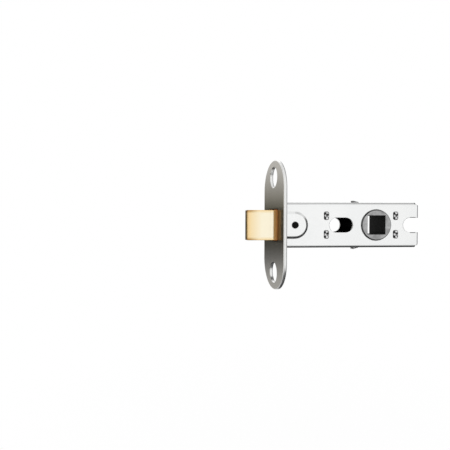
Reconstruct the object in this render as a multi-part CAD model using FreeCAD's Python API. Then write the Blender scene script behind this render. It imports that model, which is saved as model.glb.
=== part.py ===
import FreeCAD, Part
import math
import os

# Tubular door latch. Millimetres, +Z up.
# The origin is the middle of the forend's front face. +X runs into the door
# along the case, and -Y is the side that the bolt's flat cheek faces.

# Forend
FOREND_HEIGHT = 57.0
FOREND_WIDTH = 26.0
FOREND_THICKNESS = 1.4
SCREW_END_DISTANCE = 7.5
SCREW_HOLE_RADIUS = 4.7
FOREND_EDGE_CHAMFER = 0.3

# Case
SHEET = 0.7
CASE_BEHIND_HUB = 19.3
FLANGE_SETBACK = 1.3
CASE_BEND_RADIUS = 0.9
WEB_EDGE_CHAMFER = 0.3
TAB_HALF_WIDTH = 2.5
TAB_DEPTH = 1.0
FIXING_SLOT_HEIGHT = 6.4
FIXING_SLOT_FRONT = 21.1
FIXING_SLOT_REAR = 10.5
NOTCH_BEHIND_HUB = 12.3
BARB_AHEAD_OF_HUB = 7.7
BARB_LENGTH = 2.3
BARB_HEIGHT = 1.0
BARB_ROOT_HEIGHT = 0.4
BARB_HALF_WIDTH = 1.2
BARB_GAP = 0.2

# Guide pads and the pockets pressed out for them
PAD_CENTRE_FROM_FOREND = 6.0
PAD_POCKET_RADIUS = 5.9
PAD_POCKET_WALL = 1.0
PAD_POCKET_RISE = 0.6
PAD_POCKET_SLOPE = 1.1
PAD_PEG_RADIUS = 1.42
PAD_FIT = 0.06
PAD_RUNNING_GAP = 0.1

# Bolt
BOLT_HEIGHT = 13.0
BOLT_WIDTH = 10.0
BOLT_PROJECTION = 13.2
BOLT_NOSE_LAND = 3.1
BOLT_BEVEL_END = 1.8
BOLT_BEVEL_BULGE = 0.7
BOLT_EDGE_BREAK = 0.35
BOLT_OPENING_GAP = 0.4
BOLT_SIDE_GAP = 0.2
BOLT_STOP_GAP = 0.3
BOLT_STOP_LENGTH = 2.4
BOLT_TRAVEL = 10.8

# Bolt tail, a folded steel strap
TAIL_THICKNESS = 1.0
TAIL_HALF_WIDTH = 4.0
TAIL_FLANGE_GAP = 0.3
TAIL_SLOT_ROOM = 3.2
TAIL_END_LAND = 2.4
TAIL_BEND_RADIUS = 0.6
TAIL_END_CHAMFER = 1.0
HOOK_TIP_GAP = 0.2
HOOK_HALF_WIDTH = 2.0
HOOK_AHEAD_OF_HUB = 4.0

# Springs
SPRING_RADIUS = 2.6
SPRING_WIRE = 0.6
SPRING_TURNS = 6
SPRING_SIDES = 12
WIRE_SIDES = 6
SPRING_OFFSET = 3.4
SPRING_END_GAP = 0.05
SPIGOT_GAP = 0.2
SPIGOT_RISE = 0.5

# Bridges, staked into both webs of the case
BRIDGE_THICKNESS = 1.6
BRIDGE_HALF_HEIGHT = 6.1
BRIDGE_SLOT_GAP = 0.5
REAR_BRIDGE_BEHIND_HUB = 8.1
STAKE_OFFSET = 4.05
STAKE_HEIGHT = 3.1
STAKE_SPREAD = 0.3
STAKE_RISE = 0.4
STAKE_CORNER = 0.8
STAKE_CHAMFER = 0.25
STAKE_MARK_DEPTH = 0.22
STAKE_MARK_HALF_WIDTH = 0.3
STAKE_MARK_TILT = 35.0

# Follower
HUB_FROM_FOREND = 42.5
HUB_WALL = 0.97
HUB_RUNNING_GAP = 0.08
HUB_PROUD = 0.5
HUB_EDGE_CHAMFER = 0.35
SPINDLE_SQUARE = 8.1
SPINDLE_CORNER = 0.15
SPINDLE_LEAD_IN = 0.2
WEB_WALL = 0.67
WEB_HALF_WIDTH = 2.0
SHOULDER_STEP = 0.8
SHOULDER_TAIL_GAP = 0.6
SHOULDER_SIDE_GAP = 0.2
SHOULDER_END_GAP = 0.1
ARM_TIP_GAP = 0.15
ARM_HALF_WIDTH = 0.9
ARM_REST_TILT = 40.0

# Follower, worked out from the spindle
SPINDLE_REACH = SPINDLE_SQUARE / math.sqrt(2)
HUB_RADIUS = SPINDLE_REACH + HUB_WALL
WEB_RADIUS = SPINDLE_REACH + WEB_WALL
SHOULDER_RADIUS = WEB_RADIUS + SHOULDER_STEP

# Case and bolt tail, worked out from the follower that they close round
TAIL_INNER = SHOULDER_RADIUS + SHOULDER_TAIL_GAP
TAIL_OUTER = TAIL_INNER + TAIL_THICKNESS
INNER_HEIGHT = TAIL_OUTER + TAIL_FLANGE_GAP
HALF_HEIGHT = INNER_HEIGHT + SHEET
INNER_WIDTH = BOLT_WIDTH / 2 + BOLT_SIDE_GAP
HALF_WIDTH = INNER_WIDTH + SHEET
ARM_RADIUS = INNER_HEIGHT - ARM_TIP_GAP - ARM_HALF_WIDTH
HOOK_TIP = WEB_RADIUS + HOOK_TIP_GAP

# Places along the case
CASE_FRONT = FOREND_THICKNESS
HUB_X = CASE_FRONT + HUB_FROM_FOREND
CASE_END = HUB_X + CASE_BEHIND_HUB
FLANGE_END = CASE_END - FLANGE_SETBACK
PAD_X = CASE_FRONT + PAD_CENTRE_FROM_FOREND
BOLT_STOP_X = CASE_FRONT + BOLT_STOP_GAP
BOLT_REAR = BOLT_STOP_X + BOLT_STOP_LENGTH
TAIL_SEAT = BOLT_REAR + TAIL_THICKNESS
HOOK_X = HUB_X - HOOK_AHEAD_OF_HUB
TAIL_END = HOOK_X + TAIL_THICKNESS + TAIL_END_LAND
SLOT_FRONT_X = HUB_X - FIXING_SLOT_FRONT
SLOT_REAR_X = HUB_X - FIXING_SLOT_REAR
NOTCH_X = HUB_X + NOTCH_BEHIND_HUB
FRONT_BRIDGE_X = SLOT_FRONT_X - BRIDGE_SLOT_GAP - BRIDGE_THICKNESS
REAR_BRIDGE_X = HUB_X + REAR_BRIDGE_BEHIND_HUB
BARB_X = HUB_X - BARB_AHEAD_OF_HUB

# Other sizes that follow
SCREW_OFFSET = FOREND_HEIGHT / 2 - SCREW_END_DISTANCE
POCKET_RADIUS = PAD_POCKET_RADIUS - PAD_POCKET_WALL
SPIGOT_RADIUS = SPRING_RADIUS - SPRING_WIRE - SPIGOT_GAP

# How near two lengths are when they count as the same
TOUCH = 1e-6


def vec(x, y, z):
    return FreeCAD.Vector(x, y, z)


def block(x0, x1, y0, y1, z0, z1):
    return Part.makeBox(x1 - x0, y1 - y0, z1 - z0, vec(x0, y0, z0))


def rod_x(radius, x0, x1, y, z):
    return Part.makeCylinder(radius, x1 - x0, vec(x0, y, z), vec(1, 0, 0))


def rod_y(radius, y0, y1, x, z):
    return Part.makeCylinder(radius, y1 - y0, vec(x, y0, z), vec(0, 1, 0))


def prism(points, direction):
    """A polygon swept along a direction."""
    return Part.Face(Part.makePolygon(points + points[:1])).extrude(direction)


def mirror_z(shape):
    return shape.mirror(vec(0, 0, 0), vec(0, 0, 1))


def mirror_y(shape):
    return shape.mirror(vec(0, 0, 0), vec(0, 1, 0))


def edges_where(shape, test):
    """The edges whose whole box passes a test."""
    return [edge for edge in shape.Edges if test(edge.BoundBox)]


def round_slot(x0, x1, height, y0, y1):
    """A slot with round ends, cut along Y."""
    half = height / 2
    middle = block(x0 + half, x1 - half, y0, y1, -half, half)
    ends = [rod_y(half, y0, y1, x, 0) for x in (x0 + half, x1 - half)]
    return middle.fuse(ends)


def rear_notch(y0, y1):
    """The fixing notch, round inside and open at the case's rear end."""
    half = FIXING_SLOT_HEIGHT / 2
    mouth = block(NOTCH_X + half, CASE_END + half, y0, y1, -half, half)
    return mouth.fuse(rod_y(half, y0, y1, NOTCH_X + half, 0))


def pad_outline(radius, y, front):
    """A D shape in the XZ plane, flat where it meets the forend."""
    low = vec(front, y, -radius)
    low_arc = vec(PAD_X, y, -radius)
    tip = vec(PAD_X + radius, y, 0)
    high_arc = vec(PAD_X, y, radius)
    high = vec(front, y, radius)
    edges = [
        Part.LineSegment(low, low_arc).toShape(),
        Part.Arc(low_arc, tip, high_arc).toShape(),
        Part.LineSegment(high_arc, high).toShape(),
        Part.LineSegment(high, low).toShape(),
    ]
    return Part.Face(Part.Wire(edges))


def forend_plate():
    half = FOREND_WIDTH / 2
    straight = FOREND_HEIGHT / 2 - half
    plate = block(0, FOREND_THICKNESS, -half, half, -straight, straight)
    for z in (-straight, straight):
        plate = plate.fuse(rod_x(half, 0, FOREND_THICKNESS, 0, z))
    plate = plate.removeSplitter()
    front_rim = edges_where(plate, lambda box: box.XMax < TOUCH)
    plate = plate.makeChamfer(FOREND_EDGE_CHAMFER, front_rim)
    for z in (-SCREW_OFFSET, SCREW_OFFSET):
        plate = plate.cut(rod_x(SCREW_HOLE_RADIUS, -1, FOREND_THICKNESS + 1, 0, z))
    y = BOLT_WIDTH / 2 + BOLT_OPENING_GAP
    z = BOLT_HEIGHT / 2 + BOLT_OPENING_GAP
    plate = plate.cut(block(-1, FOREND_THICKNESS + 1, -y, y, -z, z))
    tab_room = case_tab(1)
    return plate.cut([tab_room, mirror_z(tab_room)])


def case_tab(side):
    """The tongue of a flange that is pressed into the back of the forend."""
    low, high = sorted((side * INNER_HEIGHT, side * HALF_HEIGHT))
    return block(CASE_FRONT - TAB_DEPTH, CASE_FRONT, -TAB_HALF_WIDTH, TAB_HALF_WIDTH, low, high)


def web_blank():
    """The near web of the case, with clipped rear corners and broken edges."""
    clip = FLANGE_SETBACK
    points = [
        vec(CASE_FRONT, -HALF_WIDTH, -HALF_HEIGHT),
        vec(FLANGE_END, -HALF_WIDTH, -HALF_HEIGHT),
        vec(CASE_END, -HALF_WIDTH, -HALF_HEIGHT + clip),
        vec(CASE_END, -HALF_WIDTH, HALF_HEIGHT - clip),
        vec(FLANGE_END, -HALF_WIDTH, HALF_HEIGHT),
        vec(CASE_FRONT, -HALF_WIDTH, HALF_HEIGHT),
    ]
    blank = prism(points, vec(0, SHEET, 0))
    rim = edges_where(blank, lambda box: box.YMax < -HALF_WIDTH + TOUCH and box.XMax > CASE_FRONT + TOUCH)
    return blank.makeChamfer(WEB_EDGE_CHAMFER, rim)


def press_pad_pocket(web):
    """The D-shaped pocket with sloping sides that is pressed outwards from a web."""
    outer = -HALF_WIDTH - PAD_POCKET_RISE
    foot = pad_outline(PAD_POCKET_RADIUS, -HALF_WIDTH, CASE_FRONT)
    top = pad_outline(PAD_POCKET_RADIUS - PAD_POCKET_SLOPE, outer, CASE_FRONT)
    raised = Part.makeLoft([foot.OuterWire, top.OuterWire], True, True)
    pocket = pad_outline(POCKET_RADIUS, -INNER_WIDTH, CASE_FRONT)
    pocket = pocket.extrude(vec(0, -PAD_POCKET_RISE, 0))
    peg_hole = rod_y(PAD_PEG_RADIUS + PAD_FIT, outer - 1, 0, PAD_X, 0)
    return web.fuse(raised).cut([pocket, peg_hole])


def punch_web(web):
    """The openings that both webs of the case share."""
    y0 = -HALF_WIDTH - 1
    y1 = -INNER_WIDTH + 1
    cuts = [
        rod_y(HUB_RADIUS + HUB_RUNNING_GAP, y0, y1, HUB_X, 0),
        round_slot(SLOT_FRONT_X, SLOT_REAR_X, FIXING_SLOT_HEIGHT, y0, y1),
        rear_notch(y0, y1),
    ]
    for x in (FRONT_BRIDGE_X, REAR_BRIDGE_X):
        for z in (-STAKE_OFFSET, STAKE_OFFSET):
            half = STAKE_HEIGHT / 2
            cuts.append(block(x, x + BRIDGE_THICKNESS, y0, y1, z - half, z + half))
    return web.cut(cuts)


def barb():
    """A tooth lanced from the upper flange, sharp end towards the forend."""
    points = [
        vec(BARB_X + BARB_LENGTH, -BARB_HALF_WIDTH, INNER_HEIGHT),
        vec(BARB_X + BARB_LENGTH, -BARB_HALF_WIDTH, HALF_HEIGHT + BARB_ROOT_HEIGHT),
        vec(BARB_X, -BARB_HALF_WIDTH, HALF_HEIGHT + BARB_HEIGHT),
        vec(BARB_X, -BARB_HALF_WIDTH, INNER_HEIGHT + BARB_HEIGHT),
    ]
    return prism(points, vec(0, 2 * BARB_HALF_WIDTH, 0))


def case_channel():
    """The near web and both flanges, folded from one sheet."""
    section = block(CASE_FRONT, FLANGE_END, -HALF_WIDTH, INNER_WIDTH, -HALF_HEIGHT, HALF_HEIGHT)
    bends = edges_where(section, lambda box: box.YMax < -HALF_WIDTH + TOUCH and box.XLength > 1)
    section = section.makeFillet(CASE_BEND_RADIUS, bends)
    hollow = block(CASE_FRONT - 1, FLANGE_END + 1, -INNER_WIDTH, INNER_WIDTH + 1,
                   -INNER_HEIGHT, INNER_HEIGHT)
    inner_bends = edges_where(hollow, lambda box: box.YMax < -INNER_WIDTH + TOUCH and box.XLength > 1)
    hollow = hollow.makeFillet(CASE_BEND_RADIUS - SHEET, inner_bends)
    channel = section.cut(hollow)
    tail = web_blank().common(block(FLANGE_END, CASE_END, -HALF_WIDTH, INNER_WIDTH,
                                    -HALF_HEIGHT + CASE_BEND_RADIUS, HALF_HEIGHT - CASE_BEND_RADIUS))
    channel = channel.fuse(tail)
    channel = punch_web(press_pad_pocket(channel))
    window = block(BARB_X - BARB_GAP, BARB_X + BARB_LENGTH, -BARB_HALF_WIDTH - BARB_GAP,
                   BARB_HALF_WIDTH + BARB_GAP, INNER_HEIGHT - 1, HALF_HEIGHT + 1)
    for mirrored in (False, True):
        pieces = [window, barb(), case_tab(1)]
        if mirrored:
            pieces = [mirror_z(piece) for piece in pieces]
        channel = channel.cut(pieces[0]).fuse(pieces[1:])
    return channel.removeSplitter()


def case_cover():
    """The far web, a flat cover over the channel's open side."""
    cover = punch_web(press_pad_pocket(web_blank()))
    return mirror_y(cover).removeSplitter()


def guide_pad():
    """The nylon pad behind the near web, with its peg through the web."""
    inner = -INNER_WIDTH + PAD_RUNNING_GAP
    floor = -INNER_WIDTH - PAD_POCKET_RISE
    face = pad_outline(POCKET_RADIUS - PAD_FIT, inner, CASE_FRONT)
    pad = face.extrude(vec(0, floor - inner, 0))
    return pad.fuse(rod_y(PAD_PEG_RADIUS, -HALF_WIDTH - PAD_POCKET_RISE, inner, PAD_X, 0))


def stake_head(x, z):
    """The end of a tab, hammered over and crossed by two chisel marks."""
    outer = HALF_WIDTH + STAKE_RISE
    across = BRIDGE_THICKNESS / 2 + STAKE_SPREAD
    half = STAKE_HEIGHT / 2 + STAKE_SPREAD
    head = block(-across, across, HALF_WIDTH, outer, -half, half)
    head = head.makeFillet(STAKE_CORNER, edges_where(head, lambda box: box.YLength > TOUCH))
    head = head.makeChamfer(STAKE_CHAMFER, edges_where(head, lambda box: box.YMin > outer - TOUCH))
    mark = prism([vec(0, outer - STAKE_MARK_DEPTH, -2 * half),
                  vec(-STAKE_MARK_HALF_WIDTH, outer + TOUCH, -2 * half),
                  vec(STAKE_MARK_HALF_WIDTH, outer + TOUCH, -2 * half)], vec(0, 0, 4 * half))
    for tilt in (-STAKE_MARK_TILT, STAKE_MARK_TILT):
        turned = mark.copy()
        turned.rotate(vec(0, 0, 0), vec(0, 1, 0), tilt)
        head = head.cut(turned)
    head.translate(vec(x + BRIDGE_THICKNESS / 2, 0, z))
    return head


def bridge(x):
    """A cross plate with four tabs, staked over outside the webs."""
    plate = block(x, x + BRIDGE_THICKNESS, -INNER_WIDTH, INNER_WIDTH,
                  -BRIDGE_HALF_HEIGHT, BRIDGE_HALF_HEIGHT)
    half = STAKE_HEIGHT / 2
    for z in (-STAKE_OFFSET, STAKE_OFFSET):
        tab = block(x, x + BRIDGE_THICKNESS, -HALF_WIDTH, HALF_WIDTH, z - half, z + half)
        head = stake_head(x, z)
        plate = plate.fuse([tab, head, mirror_y(head)])
    return plate


def bolt_head():
    """The brass bolt, bevelled on the far side, with a stop behind the forend."""
    near = -BOLT_WIDTH / 2
    far = BOLT_WIDTH / 2
    low = -BOLT_HEIGHT / 2
    nose = -BOLT_PROJECTION
    land = vec(nose, near + BOLT_NOSE_LAND, low)
    bevel_end = vec(-BOLT_BEVEL_END, far, low)
    run = bevel_end - land
    bulge = vec(-run.y, run.x, 0).normalize() * BOLT_BEVEL_BULGE
    corners = [bevel_end, vec(BOLT_REAR, far, low), vec(BOLT_REAR, near, low), vec(nose, near, low), land]
    edges = [Part.LineSegment(a, b).toShape() for a, b in zip(corners, corners[1:])]
    edges.append(Part.Arc(land, land + run * 0.5 + bulge, bevel_end).toShape())
    head = Part.Face(Part.Wire(edges)).extrude(vec(0, 0, BOLT_HEIGHT))
    front = edges_where(head, lambda box: box.XMax < BOLT_REAR - TOUCH)
    head = head.makeFillet(BOLT_EDGE_BREAK, front)
    stop = block(BOLT_STOP_X, BOLT_REAR, near, far, -TAIL_INNER, TAIL_INNER)
    head = head.fuse(stop)
    for z in (-SPRING_OFFSET, SPRING_OFFSET):
        head = head.fuse(rod_x(SPIGOT_RADIUS, BOLT_REAR - 1, TAIL_SEAT + SPIGOT_RISE, 0, z))
    return head.removeSplitter()


def bolt_tail():
    """The strap behind the bolt: a base, two slotted legs and two hooks."""
    strap = block(BOLT_REAR, TAIL_END, -TAIL_HALF_WIDTH, TAIL_HALF_WIDTH, -TAIL_OUTER, TAIL_OUTER)
    folds = edges_where(strap, lambda box: box.XMax < BOLT_REAR + TOUCH and box.YLength > 1)
    strap = strap.makeFillet(TAIL_BEND_RADIUS, folds)
    tips = edges_where(strap, lambda box: box.XMin > TAIL_END - TOUCH and box.ZLength > 1)
    strap = strap.makeChamfer(TAIL_END_CHAMFER, tips)
    strap = strap.cut(block(TAIL_SEAT, TAIL_END + 1, -TAIL_HALF_WIDTH - 1, TAIL_HALF_WIDTH + 1,
                            -TAIL_INNER, TAIL_INNER))
    slot_half = WEB_HALF_WIDTH + SHOULDER_SIDE_GAP
    for side in (-1, 1):
        low, high = sorted((side * (TAIL_INNER - 1), side * (TAIL_OUTER + 1)))
        slot_start = HOOK_X - BOLT_TRAVEL - TAIL_SLOT_ROOM
        strap = strap.cut(block(slot_start, HOOK_X, -slot_half, slot_half, low, high))
        low, high = sorted((side * HOOK_TIP, side * TAIL_OUTER))
        strap = strap.fuse(block(HOOK_X, HOOK_X + TAIL_THICKNESS, -HOOK_HALF_WIDTH, HOOK_HALF_WIDTH,
                                 low, high))
    for z in (-SPRING_OFFSET, SPRING_OFFSET):
        strap = strap.cut(rod_x(SPIGOT_RADIUS, BOLT_REAR - 1, TAIL_SEAT + 1, 0, z))
    return strap.removeSplitter()


def bolt_spring(z):
    """A compression spring between the bolt tail and the front bridge."""
    start = TAIL_SEAT + SPRING_WIRE / 2 + SPRING_END_GAP
    length = FRONT_BRIDGE_X - SPRING_WIRE / 2 - SPRING_END_GAP - start
    coil_radius = SPRING_RADIUS - SPRING_WIRE / 2
    steps = round(SPRING_TURNS * SPRING_SIDES)
    points = []
    for step in range(steps + 1):
        angle = 2 * math.pi * step / SPRING_SIDES
        points.append(vec(start + length * step / steps,
                          coil_radius * math.cos(angle), z + coil_radius * math.sin(angle)))
    along = (points[1] - points[0]).normalize()
    outward = vec(0, 1, 0).cross(along).normalize()
    across = along.cross(outward)
    section = []
    for corner in range(WIRE_SIDES + 1):
        angle = 2 * math.pi * corner / WIRE_SIDES
        spoke = outward * math.cos(angle) + across * math.sin(angle)
        section.append(points[0] + spoke * (SPRING_WIRE / 2))
    right_corners = 1
    return Part.makePolygon(points).makePipeShell([Part.makePolygon(section)], True, False, right_corners)


def follower_arm(tilt):
    """An arm that leans towards the bolt, turned about the hub's axis."""
    arm = block(-ARM_HALF_WIDTH, ARM_HALF_WIDTH, -WEB_HALF_WIDTH, WEB_HALF_WIDTH, 0, ARM_RADIUS)
    arm = arm.fuse(rod_y(ARM_HALF_WIDTH, -WEB_HALF_WIDTH, WEB_HALF_WIDTH, 0, ARM_RADIUS))
    arm.rotate(vec(0, 0, 0), vec(0, 1, 0), tilt)
    return arm


def follower():
    """The cast hub with its square spindle hole and two arms."""
    shoulder_in = WEB_HALF_WIDTH + SHOULDER_SIDE_GAP
    shoulder_out = INNER_WIDTH - SHOULDER_END_GAP
    barrel_end = HALF_WIDTH + HUB_PROUD
    body = rod_y(WEB_RADIUS, -shoulder_in, shoulder_in, 0, 0)
    for side in (-1, 1):
        low, high = sorted((side * shoulder_in, side * shoulder_out))
        body = body.fuse(rod_y(SHOULDER_RADIUS, low, high, 0, 0))
        low, high = sorted((side * shoulder_out, side * barrel_end))
        journal = rod_y(HUB_RADIUS, low, high, 0, 0)
        rim = edges_where(journal, lambda box: min(abs(box.YMin), abs(box.YMax)) > barrel_end - TOUCH)
        body = body.fuse(journal.makeChamfer(HUB_EDGE_CHAMFER, rim))
    body = body.fuse([follower_arm(-ARM_REST_TILT), follower_arm(180 + ARM_REST_TILT)])
    half = SPINDLE_SQUARE / 2
    square = block(-half, half, -barrel_end - 1, barrel_end + 1, -half, half)
    square = square.makeFillet(SPINDLE_CORNER, edges_where(square, lambda box: box.YLength > 1))
    body = body.cut(square).removeSplitter()
    mouths = edges_where(body, lambda box: min(abs(box.YMin), abs(box.YMax)) > barrel_end - TOUCH
                         and max(box.XMax, box.ZMax, -box.XMin, -box.ZMin) < half + TOUCH)
    body = body.makeChamfer(SPINDLE_LEAD_IN, mouths)
    body.translate(vec(HUB_X, 0, 0))
    return body


def main():
    parts = {
        "forend_plate": forend_plate(),
        "case_channel": case_channel(),
        "case_cover": case_cover(),
        "front_bridge": bridge(FRONT_BRIDGE_X),
        "rear_bridge": bridge(REAR_BRIDGE_X),
        "guide_pad_near": guide_pad(),
        "guide_pad_far": mirror_y(guide_pad()),
        "bolt_head": bolt_head(),
        "bolt_tail": bolt_tail(),
        "bolt_spring_upper": bolt_spring(SPRING_OFFSET),
        "bolt_spring_lower": bolt_spring(-SPRING_OFFSET),
        "follower": follower(),
    }
    os.makedirs("parts", exist_ok=True)
    for name, shape in parts.items():
        shape.exportStep("parts/" + name + ".step")


main()
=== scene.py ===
import math

import bpy
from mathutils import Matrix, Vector


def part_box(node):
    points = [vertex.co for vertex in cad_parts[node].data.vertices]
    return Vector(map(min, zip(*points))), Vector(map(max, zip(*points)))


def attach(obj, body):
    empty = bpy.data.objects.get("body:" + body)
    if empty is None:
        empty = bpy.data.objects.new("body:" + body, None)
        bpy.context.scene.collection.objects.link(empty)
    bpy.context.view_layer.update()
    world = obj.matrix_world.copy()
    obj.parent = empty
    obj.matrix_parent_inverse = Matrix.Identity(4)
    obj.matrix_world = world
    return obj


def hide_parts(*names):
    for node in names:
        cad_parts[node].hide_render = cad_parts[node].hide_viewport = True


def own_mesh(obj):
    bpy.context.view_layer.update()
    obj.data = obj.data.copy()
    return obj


# A tubular door latch, dressed for a studio picture. Metres, in the frame's own axes:
# +X runs into the door along the case, and -Y is the side that the camera stands on.

MM = 0.001

# Camera: yaw and pitch in degrees, lens and sensor in millimetres
CAMERA_PLACE = (-60.3 * MM, -177.0 * MM, 3.0 * MM)
CAMERA_YAW = 4.12
CAMERA_PITCH = -0.96
CAMERA_LENS = 32.6
CAMERA_SENSOR = 36.0
CAMERA_SHIFT = 0.13
CAMERA_CLIP = (0.01, 20.0)

# Studio
FLOOR_DEPTH = 110 * MM
FLOOR_SIZE = 4.0
FLOOR_SHADOW_REACH = 0.2
BACKGROUND = (1.0, 1.0, 1.0)
STUDIO_STRENGTH = 1.10
DARK_CARD_START = 0.3
CARD_PLACE = (-30 * MM, 70 * MM, 0.0)
CARD_SIZE = (80 * MM, 100 * MM)
CARD_SHADES = [
    (0.14, 0.55),
    (0.28, 0.21),
    (0.36, (0.090, 0.088, 0.080)),
    (0.50, (0.056, 0.052, 0.040)),
    (0.60, (0.165, 0.160, 0.132)),
    (0.66, (0.34, 0.33, 0.30)),
    (0.84, 0.75),
]
LAMP_TARGET = (0.02, 0.0, 0.0)
LAMP_POWER = 0.3
KEY_PLACE = (-0.10, -0.55, 0.45)
KEY_SIZE = (0.5, 0.4)
REAR_PLACE = (0.30, 0.50, 0.35)
REAR_SIZE = (0.4, 0.4)

# Forend
FOREND_THICKNESS = 1.4 * MM
FOREND_HALF_WIDTH = 13.0 * MM
OPENING_HALF_WIDTH = 5.2 * MM
OPENING_HALF_HEIGHT = 6.9 * MM
OPENING_RING = 0.35 * MM
OPENING_RING_DARKNESS = 0.75
# Fade of the painted shade above and below the bolt's opening
OPENING_SHADE_FADE = 1.0 * MM

# Bolt
BOLT_NOSE_X = -13.2 * MM
BOLT_HALF_HEIGHT = 6.5 * MM
# Reach of the bolt's painted highlight from the nose and from the top and bottom
BOLT_HIGHLIGHT_LENGTH = 6.5 * MM
BOLT_HIGHLIGHT_MARGIN = 1.5 * MM
# Length of the rougher zone beside the forend, painted brown as shade
BOLT_SHADED_LENGTH = 1.6 * MM
BOLT_FLARE_LENGTH = 2.9 * MM
BOLT_FLARE_RISE = 0.085 * MM

# Case
CASE_END = 63.2 * MM
CASE_LENGTH = CASE_END - FOREND_THICKNESS
CASE_HALF_WIDTH = 5.9 * MM
CASE_HALF_HEIGHT = 9.8 * MM
CASE_INNER_HALF_WIDTH = 5.2 * MM
CASE_INNER_HALF_HEIGHT = 9.1 * MM
WALL_SLACK = 0.15 * MM
TOOTH_SLACK = 0.05 * MM
FOLD_REACH = 1.0 * MM
REAR_EDGE_WIDTH = 0.60 * MM
FLANGE_END = 61.9 * MM
FLANGE_EDGE_WIDTH = 0.4 * MM
NOTCH_HALF_HEIGHT = 3.2 * MM
NOTCH_LIP = (59.4 * MM, 62.0 * MM)
NOTCH_LIP_WIDTH = 0.3 * MM

# Hub
HUB_X = 43.9 * MM
HUB_FACE_RADIUS = 6.35 * MM
HUB_RIM_SLACK = 0.02 * MM
SOCKET_HALF_WIDTH = 4.05 * MM
SOCKET_SLACK = 0.03 * MM
TURNING_PITCH = 0.12 * MM

# Staked tabs, and the middle and half size of each punch mark, painted as a dark spot of shade, as shares
# of a tab's half size
BRIDGE_CENTRES = (21.5 * MM, 52.8 * MM)
STAKE_OFFSET = 4.05 * MM
STAKE_HALF_WIDTH = 1.1 * MM
STAKE_HALF_HEIGHT = 1.85 * MM
PUNCH_MARKS = [
    ((-0.75, 0.50), (0.55, 0.38)),
    ((-0.65, -0.55), (0.55, 0.38)),
    ((0.45, 0.22), (0.80, 0.30)),
]

# Springs
SPRING_RADIUS = 2.3 * MM
WIRE_RADIUS = 0.3 * MM
SPRING_TURNS = 6
END_TURNS = 1.0
STEPS_PER_TURN = 40

# Radius of the softened edges, and depth of the surface's relief
EDGE_RADII = {
    "case": 0.35 * MM,
    "forend": 0.15 * MM,
    "bolt": 0.30 * MM,
    "hub": 0.12 * MM,
    "stake": 0.15 * MM,
    "strap": 0.10 * MM,
    "pad": 0.08 * MM,
}
RELIEF = {
    "plating": 0.001 * MM,
    "brushing": 0.002 * MM,
    "buffing": 0.0005 * MM,
    "turning": 0.001 * MM,
    "casting": 0.006 * MM,
    "hammering": 0.06 * MM,
    "smears": 0.01 * MM,
    "moulding": 0.01 * MM,
    "drawing": 0.004 * MM,
}


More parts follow.
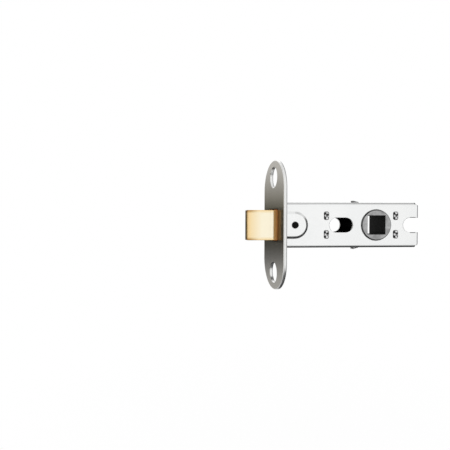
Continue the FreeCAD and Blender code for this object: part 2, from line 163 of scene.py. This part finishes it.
class Nodes:
    """A material's node tree, with short calls for adding and linking nodes."""

    def __init__(self, name):
        self.material = bpy.data.materials.new(name)
        self.material.use_nodes = True
        self.tree = self.material.node_tree
        self.tree.nodes.clear()
        self.output = self.add("ShaderNodeOutputMaterial")

    def add(self, kind, inputs=None, **settings):
        node = self.tree.nodes.new(kind)
        for key, value in settings.items():
            setattr(node, key, value)
        for key, value in (inputs or {}).items():
            if isinstance(value, bpy.types.NodeSocket):
                self.tree.links.new(value, node.inputs[key])
            else:
                node.inputs[key].default_value = value
        return node

    def to_output(self, shader):
        """Links the last shader to the output."""
        self.tree.links.new(shader.outputs[0], self.output.inputs["Surface"])

    def split_rays(self, seen, others):
        """One shader for the camera's rays and another for all the rest."""
        path = self.add("ShaderNodeLightPath")
        inputs = {0: path.outputs["Is Camera Ray"], 1: others.outputs[0], 2: seen.outputs[0]}
        return self.add("ShaderNodeMixShader", inputs)

    def place(self):
        """The point on the surface, in the object's own metres."""
        return self.add("ShaderNodeTexCoord").outputs["Object"]

    def axes(self):
        """The X, Y and Z of that point, by name."""
        return self.add("ShaderNodeSeparateXYZ", {"Vector": self.place()}).outputs

    def scaled(self, scale):
        return self.add("ShaderNodeMapping", {"Vector": self.place(), "Scale": scale}).outputs["Vector"]

    def math(self, operation, *values):
        return self.add("ShaderNodeMath", dict(enumerate(values)), operation=operation).outputs[0]

    def unsigned(self, value):
        """A value without its sign."""
        return self.math("ABSOLUTE", value)

    def length(self, first, second):
        """The length of the line that two values span at right angles."""
        squares = [self.math("POWER", value, 2.0) for value in (first, second)]
        return self.math("SQRT", self.math("ADD", *squares))

    def above(self, value, limit):
        """1 where a value is over the limit, 0 elsewhere."""
        return self.math("GREATER_THAN", value, limit)

    def under(self, value, limit):
        """1 where a value is under the limit, 0 elsewhere."""
        return self.math("LESS_THAN", value, limit)

    def all_of(self, first, *others):
        """The product of several masks or shares."""
        for other in others:
            first = self.math("MULTIPLY", first, other)
        return first

    def noise(self, scale, detail=4.0, place=None):
        inputs = {"Vector": place or self.place(), "Scale": scale, "Detail": detail, "Roughness": 0.55}
        return self.add("ShaderNodeTexNoise", inputs).outputs["Fac"]

    def ramp(self, value, stops):
        """A colour ramp; each stop is a position and a grey level or a colour."""
        node = self.add("ShaderNodeValToRGB", {"Fac": value})
        elements = node.color_ramp.elements
        while len(elements) < len(stops):
            elements.new(0.5)
        for element, (position, colour) in zip(elements, stops):
            element.position = position
            level = colour if isinstance(colour, tuple) else (colour,) * 3
            element.color = (*level, 1.0)
        return node.outputs["Color"]

    def mix(self, factor, first, second):
        node = self.add("ShaderNodeMix", {"Factor": factor}, data_type="RGBA")
        for socket, value in zip([s for s in node.inputs if s.type == "RGBA"], (first, second)):
            if isinstance(value, bpy.types.NodeSocket):
                self.tree.links.new(value, socket)
            else:
                socket.default_value = (*value, 1.0)
        return [s for s in node.outputs if s.type == "RGBA"][0]

    def multiply(self, first, second):
        """The product of two colours."""
        return self.add("ShaderNodeVectorMath", {0: first, 1: second}, operation="MULTIPLY").outputs[0]

    def bump(self, height, distance, normal=None):
        inputs = {"Height": height, "Distance": distance, "Strength": 1.0}
        if normal is not None:
            inputs["Normal"] = normal
        return self.add("ShaderNodeBump", inputs).outputs["Normal"]

    def soft_edges(self, radius):
        return self.add("ShaderNodeBevel", {"Radius": radius}, samples=6).outputs["Normal"]

    def surface(self, **inputs):
        """The material's shader, with underscores for the spaces in its sockets' names."""
        named = {key.replace("_", " "): value for key, value in inputs.items()}
        self.to_output(self.add("ShaderNodeBsdfPrincipled", named))


def inside_case(nodes):
    """1 on surfaces within the case's walls, 0 outside."""
    axes = nodes.axes()
    across = nodes.under(nodes.unsigned(axes["Y"]), CASE_INNER_HALF_WIDTH + WALL_SLACK)
    upright = nodes.under(nodes.unsigned(axes["Z"]), CASE_INNER_HALF_HEIGHT + WALL_SLACK)
    return nodes.all_of(across, upright)


def painted_edge_shade(nodes):
    """1 on the flanges' ends and along the mouth of the rear notch, where a dark line of shade is painted.
    """
    axes = nodes.axes()
    height = nodes.unsigned(axes["Z"])
    lip = nodes.under(height, NOTCH_HALF_HEIGHT + NOTCH_LIP_WIDTH)
    start = nodes.above(axes["X"], NOTCH_LIP[0])
    end = nodes.under(axes["X"], NOTCH_LIP[1])
    mouth = nodes.all_of(lip, start, end)
    bent = nodes.above(height, CASE_INNER_HALF_HEIGHT)
    last = nodes.above(axes["X"], FLANGE_END - FLANGE_EDGE_WIDTH)
    return nodes.math("MAXIMUM", nodes.all_of(bent, last), mouth)


def folds(nodes):
    """1 along the four long edges of the case, where the sheet is folded."""
    axes = nodes.axes()
    reach = nodes.math("ADD", nodes.unsigned(axes["Y"]), nodes.unsigned(axes["Z"]))
    return nodes.above(reach, CASE_HALF_WIDTH + CASE_HALF_HEIGHT - FOLD_REACH)


def plated_case_material():
    """Bright zinc plate: nearly white and faintly cloudy, with painted shade on its teeth, rear edge, cut
    edges and folds, and inside the case.
    """
    nodes = Nodes("zinc_plate")
    axes = nodes.axes()
    colour = nodes.ramp(nodes.noise(60.0), [(0.3, (0.82, 0.83, 0.83)), (0.7, (0.86, 0.865, 0.86))])
    # Painted shade on the teeth that stand out above and below the case
    tooth = nodes.above(nodes.unsigned(axes["Z"]), CASE_HALF_HEIGHT + TOOTH_SLACK)
    painted_tooth_shade = nodes.ramp(nodes.noise(1500.0), [(0.4, 0.08), (0.65, 0.5)])
    colour = nodes.mix(tooth, colour, painted_tooth_shade)
    # Painted shade: a grey line along the case's rear edge
    rear_edge = nodes.above(axes["X"], CASE_END - REAR_EDGE_WIDTH)
    colour = nodes.mix(rear_edge, colour, (0.36, 0.36, 0.37))
    # Painted shade: dark lines at the flanges' ends and along the rear notch's mouth
    colour = nodes.mix(painted_edge_shade(nodes), colour, (0.10, 0.10, 0.10))
    depth = nodes.math("DIVIDE", nodes.math("SUBTRACT", CASE_END, axes["X"]), CASE_LENGTH)
    # Painted shade along the folds: darker toward the forend on the upper folds, and darker still on the
    # lower ones
    painted_upper_fold_shade = nodes.ramp(depth, [(0.68, 0.82), (0.93, 0.68)])
    painted_fold_shade = nodes.mix(nodes.above(axes["Z"], 0.0), (0.52, 0.52, 0.52), painted_upper_fold_shade)
    colour = nodes.mix(folds(nodes), colour, nodes.multiply(colour, painted_fold_shade))
    # Painted shade inside the case, deepest between the bridges and lighter toward the open rear
    shaded = nodes.ramp(depth, [(0.0, 0.75), (0.13, 0.60), (0.17, 0.15)])
    colour = nodes.mix(inside_case(nodes), colour, shaded)
    lines = nodes.noise(900.0, place=nodes.scaled((0.08, 1.0, 1.0)))
    rough = nodes.ramp(nodes.noise(300.0), [(0.3, 0.20), (0.7, 0.26)])
    normal = nodes.bump(lines, RELIEF["plating"], nodes.soft_edges(EDGE_RADII["case"]))
    nodes.surface(Base_Color=colour, Metallic=1.0, Roughness=rough, Normal=normal)
    return nodes.material


def painted_opening_shade(nodes, axes, colour):
    """Paints shade on a colour level with the bolt's opening, most of all in a thin ring of painted gap
    shadow around it.
    """
    width = nodes.unsigned(axes["Y"])
    height = nodes.unsigned(axes["Z"])
    beside = nodes.math("DIVIDE", nodes.math("SUBTRACT", width, OPENING_HALF_WIDTH),
                        FOREND_HALF_WIDTH - OPENING_HALF_WIDTH)
    beyond = nodes.math("DIVIDE", nodes.math("SUBTRACT", height, OPENING_HALF_HEIGHT), OPENING_SHADE_FADE)
    grease = nodes.all_of(nodes.ramp(beyond, [(0.0, 1.0), (1.0, 0.0)]),
                          nodes.ramp(beside, [(0.0, 0.60), (1.0, 0.40)]))
    # Painted shade beside, above and below the opening
    colour = nodes.mix(grease, colour, (0.05, 0.045, 0.035))
    # Painted shadow in a thin ring round the opening, for the gap around the bolt
    ring = nodes.all_of(nodes.under(width, OPENING_HALF_WIDTH + OPENING_RING),
                        nodes.under(height, OPENING_HALF_HEIGHT + OPENING_RING),
                        OPENING_RING_DARKNESS)
    return nodes.mix(ring, colour, (0.03, 0.025, 0.02))


def brushed_forend_material():
    """Satin nickel, brushed along the plate's length, with a painted highlight on the front of its cut
    edges, painted shade on their back and painted shade around the bolt's opening.
    """
    nodes = Nodes("brushed_nickel")
    axes = nodes.axes()
    grain = nodes.noise(1400.0, detail=6.0, place=nodes.scaled((1.0, 1.0, 0.03)))
    colour = nodes.ramp(grain, [(0.3, (0.51, 0.487, 0.44)), (0.7, (0.59, 0.563, 0.51))])
    # Painted shade around the bolt's opening
    colour = painted_opening_shade(nodes, axes, colour)
    depth = nodes.math("DIVIDE", axes["X"], FOREND_THICKNESS)
    cut = nodes.ramp(depth, [(0.02, 0.0), (0.08, 1.0), (0.95, 1.0), (0.99, 0.0)])
    # Painted highlight on the front part of the cut edges and painted shade on their back part
    edge = nodes.ramp(depth, [(0.70, (0.86, 0.86, 0.85)), (0.80, (0.40, 0.40, 0.40))])
    colour = nodes.mix(cut, colour, edge)
    satin = nodes.ramp(nodes.noise(200.0), [(0.3, 0.17), (0.7, 0.23)])
    rough = nodes.mix(cut, satin, (0.28, 0.28, 0.28))
    metal = nodes.ramp(cut, [(0.0, 1.0), (1.0, 0.8)])
    normal = nodes.bump(grain, RELIEF["brushing"], nodes.soft_edges(EDGE_RADII["forend"]))
    nodes.surface(Base_Color=colour, Metallic=metal, Roughness=rough, Normal=normal)
    return nodes.material


def brass_with_painted_light(nodes, axes):
    """Brass with a painted highlight, palest in the middle of the head, and painted shade at the corners
    of the nose.
    """
    from_nose = nodes.math("DIVIDE", nodes.math("SUBTRACT", axes["X"], BOLT_NOSE_X), BOLT_HIGHLIGHT_LENGTH)
    from_side = nodes.math("SUBTRACT", BOLT_HALF_HEIGHT, nodes.unsigned(axes["Z"]))
    from_side = nodes.math("DIVIDE", from_side, BOLT_HIGHLIGHT_MARGIN)
    inward = nodes.math("MINIMUM", from_nose, from_side)
    # Painted highlight: paler toward the middle, away from the nose and the top and bottom
    colour = nodes.ramp(inward, [(0.0, (0.82, 0.57, 0.27)),
                                 (0.3, (0.84, 0.68, 0.41)),
                                 (1.0, (0.88, 0.81, 0.63))])
    # Painted shade at the top and bottom corners of the nose
    painted_corner_shade = nodes.all_of(nodes.ramp(from_side, [(0.3, 0.85), (0.9, 0.0)]),
                           nodes.ramp(from_nose, [(0.25, 1.0), (0.8, 0.0)]))
    return nodes.mix(painted_corner_shade, colour, nodes.multiply(colour, (0.50, 0.36, 0.18)))


def polished_brass_material():
    """Polished brass that seems to flare out near the forend, and is rougher close to it, with a painted
    brown shade there.
    """
    nodes = Nodes("polished_brass")
    axes = nodes.axes()
    # Next to the forend the brass is rougher and painted brown, as painted shade
    dull_shaded_zone = nodes.above(axes["X"], -BOLT_SHADED_LENGTH)
    from_forend = nodes.math("DIVIDE", axes["X"], -BOLT_SHADED_LENGTH)
    brown = nodes.ramp(from_forend, [(0.0, (1.0, 0.45, 0.13)), (1.0, (1.0, 0.62, 0.22))])
    colour = nodes.mix(dull_shaded_zone, brass_with_painted_light(nodes, axes), brown)
    metal = nodes.ramp(dull_shaded_zone, [(0.0, 1.0), (1.0, 0.1)])
    polish = nodes.ramp(nodes.noise(250.0), [(0.3, 0.09), (0.7, 0.15)])
    rough = nodes.mix(dull_shaded_zone, polish, (0.4, 0.4, 0.4))
    flare = nodes.ramp(nodes.math("DIVIDE", axes["X"], -BOLT_FLARE_LENGTH),
                       [(BOLT_SHADED_LENGTH / BOLT_FLARE_LENGTH, 1.0), (1.0, 0.0)])
    marks = nodes.noise(1600.0, place=nodes.scaled((0.15, 1.0, 1.0)))
    normal = nodes.bump(flare, BOLT_FLARE_RISE, nodes.soft_edges(EDGE_RADII["bolt"]))
    normal = nodes.bump(marks, RELIEF["buffing"], normal)
    nodes.surface(Base_Color=colour, Metallic=metal, Roughness=rough, Normal=normal)
    return nodes.material


def cast_hub_material():
    """Zinc casting with a turned face, a painted shadow round its face, and painted shade in its socket
    and inside the case.
    """
    nodes = Nodes("cast_zinc")
    axes = nodes.axes()
    across = nodes.math("SUBTRACT", axes["X"], HUB_X)
    radius = nodes.length(across, axes["Z"])
    cast = nodes.noise(700.0, detail=6.0)
    stains = nodes.ramp(nodes.noise(260.0, detail=1.0), [(0.35, 0.75), (0.65, 1.15)])
    colour = nodes.ramp(cast, [(0.3, (0.29, 0.29, 0.29)), (0.7, (0.44, 0.44, 0.44))])
    colour = nodes.multiply(colour, stains)
    # Painted shadow in a ring round the turned face, for the gap beside it
    painted_rim_shadow = nodes.above(radius, HUB_FACE_RADIUS + HUB_RIM_SLACK)
    colour = nodes.mix(painted_rim_shadow, colour, (0.09, 0.09, 0.09))
    corner = nodes.math("MAXIMUM", nodes.unsigned(across), nodes.unsigned(axes["Z"]))
    socket = nodes.under(corner, SOCKET_HALF_WIDTH + SOCKET_SLACK)
    # Painted shade: the socket and the parts inside the case are near black and not metal
    painted_hollow_shade = nodes.math("MAXIMUM", socket, inside_case(nodes))
    colour = nodes.mix(painted_hollow_shade, colour, (0.012, 0.012, 0.012))
    metal = nodes.math("SUBTRACT", 1.0, painted_hollow_shade)
    rings = nodes.math("SINE", nodes.math("MULTIPLY", radius, 2 * math.pi / TURNING_PITCH))
    normal = nodes.bump(rings, RELIEF["turning"], nodes.soft_edges(EDGE_RADII["hub"]))
    normal = nodes.bump(cast, RELIEF["casting"], normal)
    nodes.surface(Base_Color=colour, Metallic=metal, Roughness=0.3, Specular_IOR_Level=0.05, Normal=normal)
    return nodes.material


def off_nearest(nodes, value, first, pitch):
    """How far a value lies from the nearest of a row of places, with its sign."""
    wrapped = nodes.math("WRAP", nodes.math("SUBTRACT", value, first - pitch / 2), pitch, 0.0)
    return nodes.math("SUBTRACT", wrapped, pitch / 2)


def peened_steel_material():
    """Steel tabs punched over: bright, with painted shadow round each tab's edge, the same three punch
    marks on each painted as dark spots of shade, and painted shade inside the case.
    """
    nodes = Nodes("peened_steel")
    axes = nodes.axes()
    across = off_nearest(nodes, axes["X"], BRIDGE_CENTRES[0], BRIDGE_CENTRES[1] - BRIDGE_CENTRES[0])
    across = nodes.math("DIVIDE", across, STAKE_HALF_WIDTH)
    along = off_nearest(nodes, axes["Z"], -STAKE_OFFSET, 2 * STAKE_OFFSET)
    along = nodes.math("DIVIDE", along, STAKE_HALF_HEIGHT)
    edge = nodes.math("MAXIMUM", nodes.unsigned(across), nodes.unsigned(along))
    dents = nodes.noise(1100.0, detail=2.0)
    # Painted shadow darkens each tab toward its edge
    colour = nodes.multiply(nodes.ramp(dents, [(0.38, 0.40), (0.56, 0.85)]),
                            nodes.ramp(edge, [(0.70, 1.0), (0.95, 0.25)]))
    # Each punch mark is a painted dark spot of shade
    for (mark_across, mark_along), (half_width, half_height) in PUNCH_MARKS:
        aside = nodes.math("DIVIDE", nodes.math("SUBTRACT", across, mark_across), half_width)
        upward = nodes.math("DIVIDE", nodes.math("SUBTRACT", along, mark_along), half_height)
        mark = nodes.ramp(nodes.length(aside, upward), [(0.55, 0.06), (1.0, 1.0)])
        colour = nodes.multiply(colour, mark)
    # Painted shade inside the case
    colour = nodes.mix(inside_case(nodes), colour, (0.02, 0.02, 0.022))
    normal = nodes.bump(dents, RELIEF["hammering"], nodes.soft_edges(EDGE_RADII["stake"]))
    nodes.surface(Base_Color=colour, Metallic=1.0, Roughness=0.32, Normal=normal)
    return nodes.material


def plated_strap_material():
    """Grey zinc plate on the strap inside, dulled by grease."""
    nodes = Nodes("greased_strap")
    smear = nodes.noise(150.0)
    colour = nodes.ramp(smear, [(0.35, (0.18, 0.18, 0.18)), (0.65, (0.38, 0.38, 0.38))])
    rough = nodes.ramp(smear, [(0.35, 0.25), (0.65, 0.5)])
    normal = nodes.bump(nodes.noise(800.0), RELIEF["smears"], nodes.soft_edges(EDGE_RADII["strap"]))
    nodes.surface(Base_Color=colour, Metallic=1.0, Roughness=rough, Normal=normal)
    return nodes.material


def moulded_nylon_material():
    """Black nylon with a fine moulded texture."""
    nodes = Nodes("black_nylon")
    grain = nodes.noise(1500.0)
    colour = nodes.ramp(grain, [(0.3, 0.003), (0.7, 0.008)])
    normal = nodes.bump(grain, RELIEF["moulding"], nodes.soft_edges(EDGE_RADII["pad"]))
    nodes.surface(Base_Color=colour, Roughness=0.6, Specular_IOR_Level=0.12, Normal=normal)
    return nodes.material


def spring_wire_material():
    """Drawn spring steel with fine marks."""
    nodes = Nodes("spring_wire")
    marks = nodes.noise(1200.0)
    colour = nodes.ramp(marks, [(0.3, (0.20, 0.20, 0.21)), (0.7, (0.36, 0.36, 0.37))])
    normal = nodes.bump(marks, RELIEF["drawing"])
    nodes.surface(Base_Color=colour, Metallic=1.0, Roughness=0.3, Normal=normal)
    return nodes.material


def dress_nodes(frame):
    """Gives each CAD node its material."""
    case = plated_case_material()
    peened = peened_steel_material()
    nylon = moulded_nylon_material()
    materials = {
        "forend_plate": brushed_forend_material(),
        "case_channel": case,
        "case_cover": case,
        "front_bridge": peened,
        "rear_bridge": peened,
        "guide_pad_near": nylon,
        "guide_pad_far": nylon,
        "bolt_head": polished_brass_material(),
        "bolt_tail": plated_strap_material(),
        "follower": cast_hub_material(),
    }
    for name, material in materials.items():
        slots = frame["nodes"][name].data.materials
        slots.clear()
        slots.append(material)


def spring_points(start, end, z):
    """The middle line of a coil whose last turn at each end is closed."""
    turns = SPRING_TURNS + 2 * END_TURNS
    steps = round(turns * STEPS_PER_TURN)
    flat = END_TURNS / turns
    end_rise = 2 * WIRE_RADIUS * END_TURNS
    low = start + WIRE_RADIUS
    high = end - WIRE_RADIUS
    points = []
    for step in range(steps + 1):
        share = step / steps
        if share < flat:
            x = low + end_rise * share / flat
        elif share > 1 - flat:
            x = high - end_rise * (1 - share) / flat
        else:
            x = low + end_rise + (high - low - 2 * end_rise) * (share - flat) / (1 - 2 * flat)
        angle = 2 * math.pi * turns * share
        points.append((x, SPRING_RADIUS * math.cos(angle), z + SPRING_RADIUS * math.sin(angle)))
    return points


def wire_mesh(name, points):
    """A round wire along a row of points."""
    curve = bpy.data.curves.new(name, "CURVE")
    curve.dimensions = "3D"
    curve.bevel_depth = WIRE_RADIUS
    curve.bevel_resolution = 3
    curve.use_fill_caps = True
    spline = curve.splines.new("POLY")
    spline.points.add(len(points) - 1)
    for point, place in zip(spline.points, points):
        point.co = (*place, 1.0)
    drawn = bpy.data.objects.new(name + "_curve", curve)
    mesh = bpy.data.meshes.new_from_object(drawn)
    bpy.data.objects.remove(drawn)
    return mesh


def coil_spring(name, node, material):
    """A round-wire compression spring in the place of a node."""
    low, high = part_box(node)
    middle_z = (low[2] + high[2]) / 2
    mesh = wire_mesh(name, spring_points(low[0], high[0], middle_z))
    mesh.materials.clear()
    mesh.materials.append(material)
    for polygon in mesh.polygons:
        polygon.use_smooth = True
    spring = bpy.data.objects.new(name, mesh)
    bpy.context.collection.objects.link(spring)
    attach(spring, "case")
    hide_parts(node)
    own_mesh(spring)


class WorldNodes(Nodes):
    """The world's node tree, with the same short calls."""

    def __init__(self, name):
        world = bpy.data.worlds.new(name)
        bpy.context.scene.world = world
        world.use_nodes = True
        self.tree = world.node_tree
        self.tree.nodes.clear()
        self.output = self.add("ShaderNodeOutputWorld")

    def place(self):
        """The direction of a ray."""
        return self.add("ShaderNodeTexCoord").outputs["Generated"]


def shares(stops):
    """Ramp stops for a direction's -1 to 1, on the ramp's 0 to 1."""
    return [((value + 1) / 2, level) for value, level in stops]


def studio_height(nodes, axes, x, z):
    """How bright the studio is from floor to ceiling, with a dark card low at the right."""
    height = nodes.ramp(z, shares([(-1.0, 0.5), (-0.5, 0.75), (-0.2, 1.0), (-0.1, 1.0),
                                   (0.15, 1.0), (0.5, 0.9), (0.8, 0.5), (0.95, 0.4)]))
    over_left = nodes.all_of(nodes.ramp(x, shares([(0.36, 1.0), (0.43, 0.0)])),
                             nodes.ramp(z, shares([(0.0, 0.0), (0.25, 1.0)])))
    height = nodes.mix(over_left, height, (1.0, 1.0, 1.0))
    aside = nodes.math("MAXIMUM", nodes.math("SUBTRACT", axes["X"], DARK_CARD_START), 0.0)
    aslant = nodes.length(aside, axes["Z"])
    card = nodes.all_of(nodes.ramp(x, shares([(0.05, 0.0), (0.22, 1.0)])),
                        nodes.ramp(z, shares([(-0.25, 1.0), (-0.05, 0.0)])),
                        nodes.ramp(aslant, [(0.53, 0.0), (0.66, 0.94)]))
    return nodes.math("MULTIPLY", height, nodes.math("SUBTRACT", 1.0, card))


def make_world():
    """White to the camera. To reflections, bright walls and floor with a few dark cards among them."""
    nodes = WorldNodes("studio")
    axes = nodes.axes()
    x, y, z = (nodes.math("MULTIPLY", nodes.math("ADD", axes[name], 1.0), 0.5) for name in "XYZ")
    front = nodes.ramp(x, shares([(-0.68, 1.0), (-0.54, 0.10), (-0.1, 0.10),
                                  (0.06, 1.0), (0.35, 1.0), (0.85, 0.9), (0.94, 0.05)]))
    back = nodes.ramp(x, shares([(-0.8, 0.5), (-0.6, 0.85), (0.6, 0.85), (0.82, 0.05)]))
    behind = nodes.ramp(y, shares([(-0.15, 0.0), (0.2, 1.0)]))
    walls = nodes.multiply(nodes.mix(behind, front, back), studio_height(nodes, axes, x, z))
    room = nodes.add("ShaderNodeBackground", {"Color": walls, "Strength": STUDIO_STRENGTH})
    white = nodes.add("ShaderNodeBackground", {"Color": (*BACKGROUND, 1.0)})
    nodes.to_output(nodes.split_rays(white, room))


def make_floor():
    """A white floor well below the latch, which shows only a soft shadow."""
    nodes = Nodes("white_floor")
    shade = nodes.add("ShaderNodeAmbientOcclusion", {"Distance": FLOOR_SHADOW_REACH}, samples=8)
    colour = nodes.ramp(shade.outputs["AO"], [(0.0, 0.72), (1.0, 1.0)])
    seen = nodes.add("ShaderNodeEmission", {"Color": colour, "Strength": 1.0})
    lit = nodes.add("ShaderNodeBsdfDiffuse", {"Color": (0.8, 0.8, 0.8, 1.0)})
    nodes.to_output(nodes.split_rays(seen, lit))
    bpy.ops.mesh.primitive_plane_add(size=FLOOR_SIZE, location=(0, 0, -FLOOR_DEPTH))
    floor = bpy.context.object
    floor.name = "floor"
    floor.data.materials.append(nodes.material)
    floor.visible_glossy = False
    floor.visible_diffuse = False


def make_shaded_card():
    """A card behind the latch on the left, dark across its middle, which the forend's face mirrors."""
    nodes = Nodes("shaded_card")
    height = nodes.math("ADD", nodes.axes()["Y"], 0.5)
    shade = nodes.ramp(height, CARD_SHADES)
    nodes.to_output(nodes.add("ShaderNodeEmission", {"Color": shade, "Strength": 1.0}))
    bpy.ops.mesh.primitive_plane_add(size=1.0, location=CARD_PLACE, rotation=(math.radians(90), 0, 0))
    card = bpy.context.object
    card.name = "shaded_card"
    card.scale = (*CARD_SIZE, 1.0)
    card.data.materials.append(nodes.material)
    card.visible_camera = False
    card.visible_shadow = False
    card.visible_diffuse = False


def area_light(name, place, size):
    """A soft lamp that points at the latch."""
    lamp = bpy.data.lights.new(name, "AREA")
    lamp.shape = "RECTANGLE"
    lamp.size, lamp.size_y = size
    lamp.energy = LAMP_POWER
    holder = bpy.data.objects.new(name, lamp)
    bpy.context.collection.objects.link(holder)
    aim = Vector(LAMP_TARGET) - Vector(place)
    holder.location = place
    holder.rotation_euler = aim.to_track_quat("-Z", "Y").to_euler()


def make_camera():
    data = bpy.data.cameras.new("camera")
    data.sensor_width = CAMERA_SENSOR
    data.lens = CAMERA_LENS
    data.shift_x = CAMERA_SHIFT
    data.clip_start, data.clip_end = CAMERA_CLIP
    camera = bpy.data.objects.new("camera", data)
    bpy.context.collection.objects.link(camera)
    camera.location = CAMERA_PLACE
    camera.rotation_euler = (math.radians(90 + CAMERA_PITCH), 0, -math.radians(CAMERA_YAW))
    bpy.context.scene.camera = camera


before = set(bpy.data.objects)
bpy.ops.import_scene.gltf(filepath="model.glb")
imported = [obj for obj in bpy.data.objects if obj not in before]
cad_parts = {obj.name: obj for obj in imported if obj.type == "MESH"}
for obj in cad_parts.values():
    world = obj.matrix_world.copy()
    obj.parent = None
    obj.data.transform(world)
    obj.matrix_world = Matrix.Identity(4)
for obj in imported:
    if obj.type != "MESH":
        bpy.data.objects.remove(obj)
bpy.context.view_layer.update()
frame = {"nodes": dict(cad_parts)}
bpy.context.scene.view_settings.view_transform = "Standard"
make_camera()
dress_nodes(frame)
wire = spring_wire_material()
coil_spring("spring_upper", "bolt_spring_upper", wire)
coil_spring("spring_lower", "bolt_spring_lower", wire)
make_world()
make_floor()
make_shaded_card()
area_light("key", KEY_PLACE, KEY_SIZE)
area_light("rear", REAR_PLACE, REAR_SIZE)
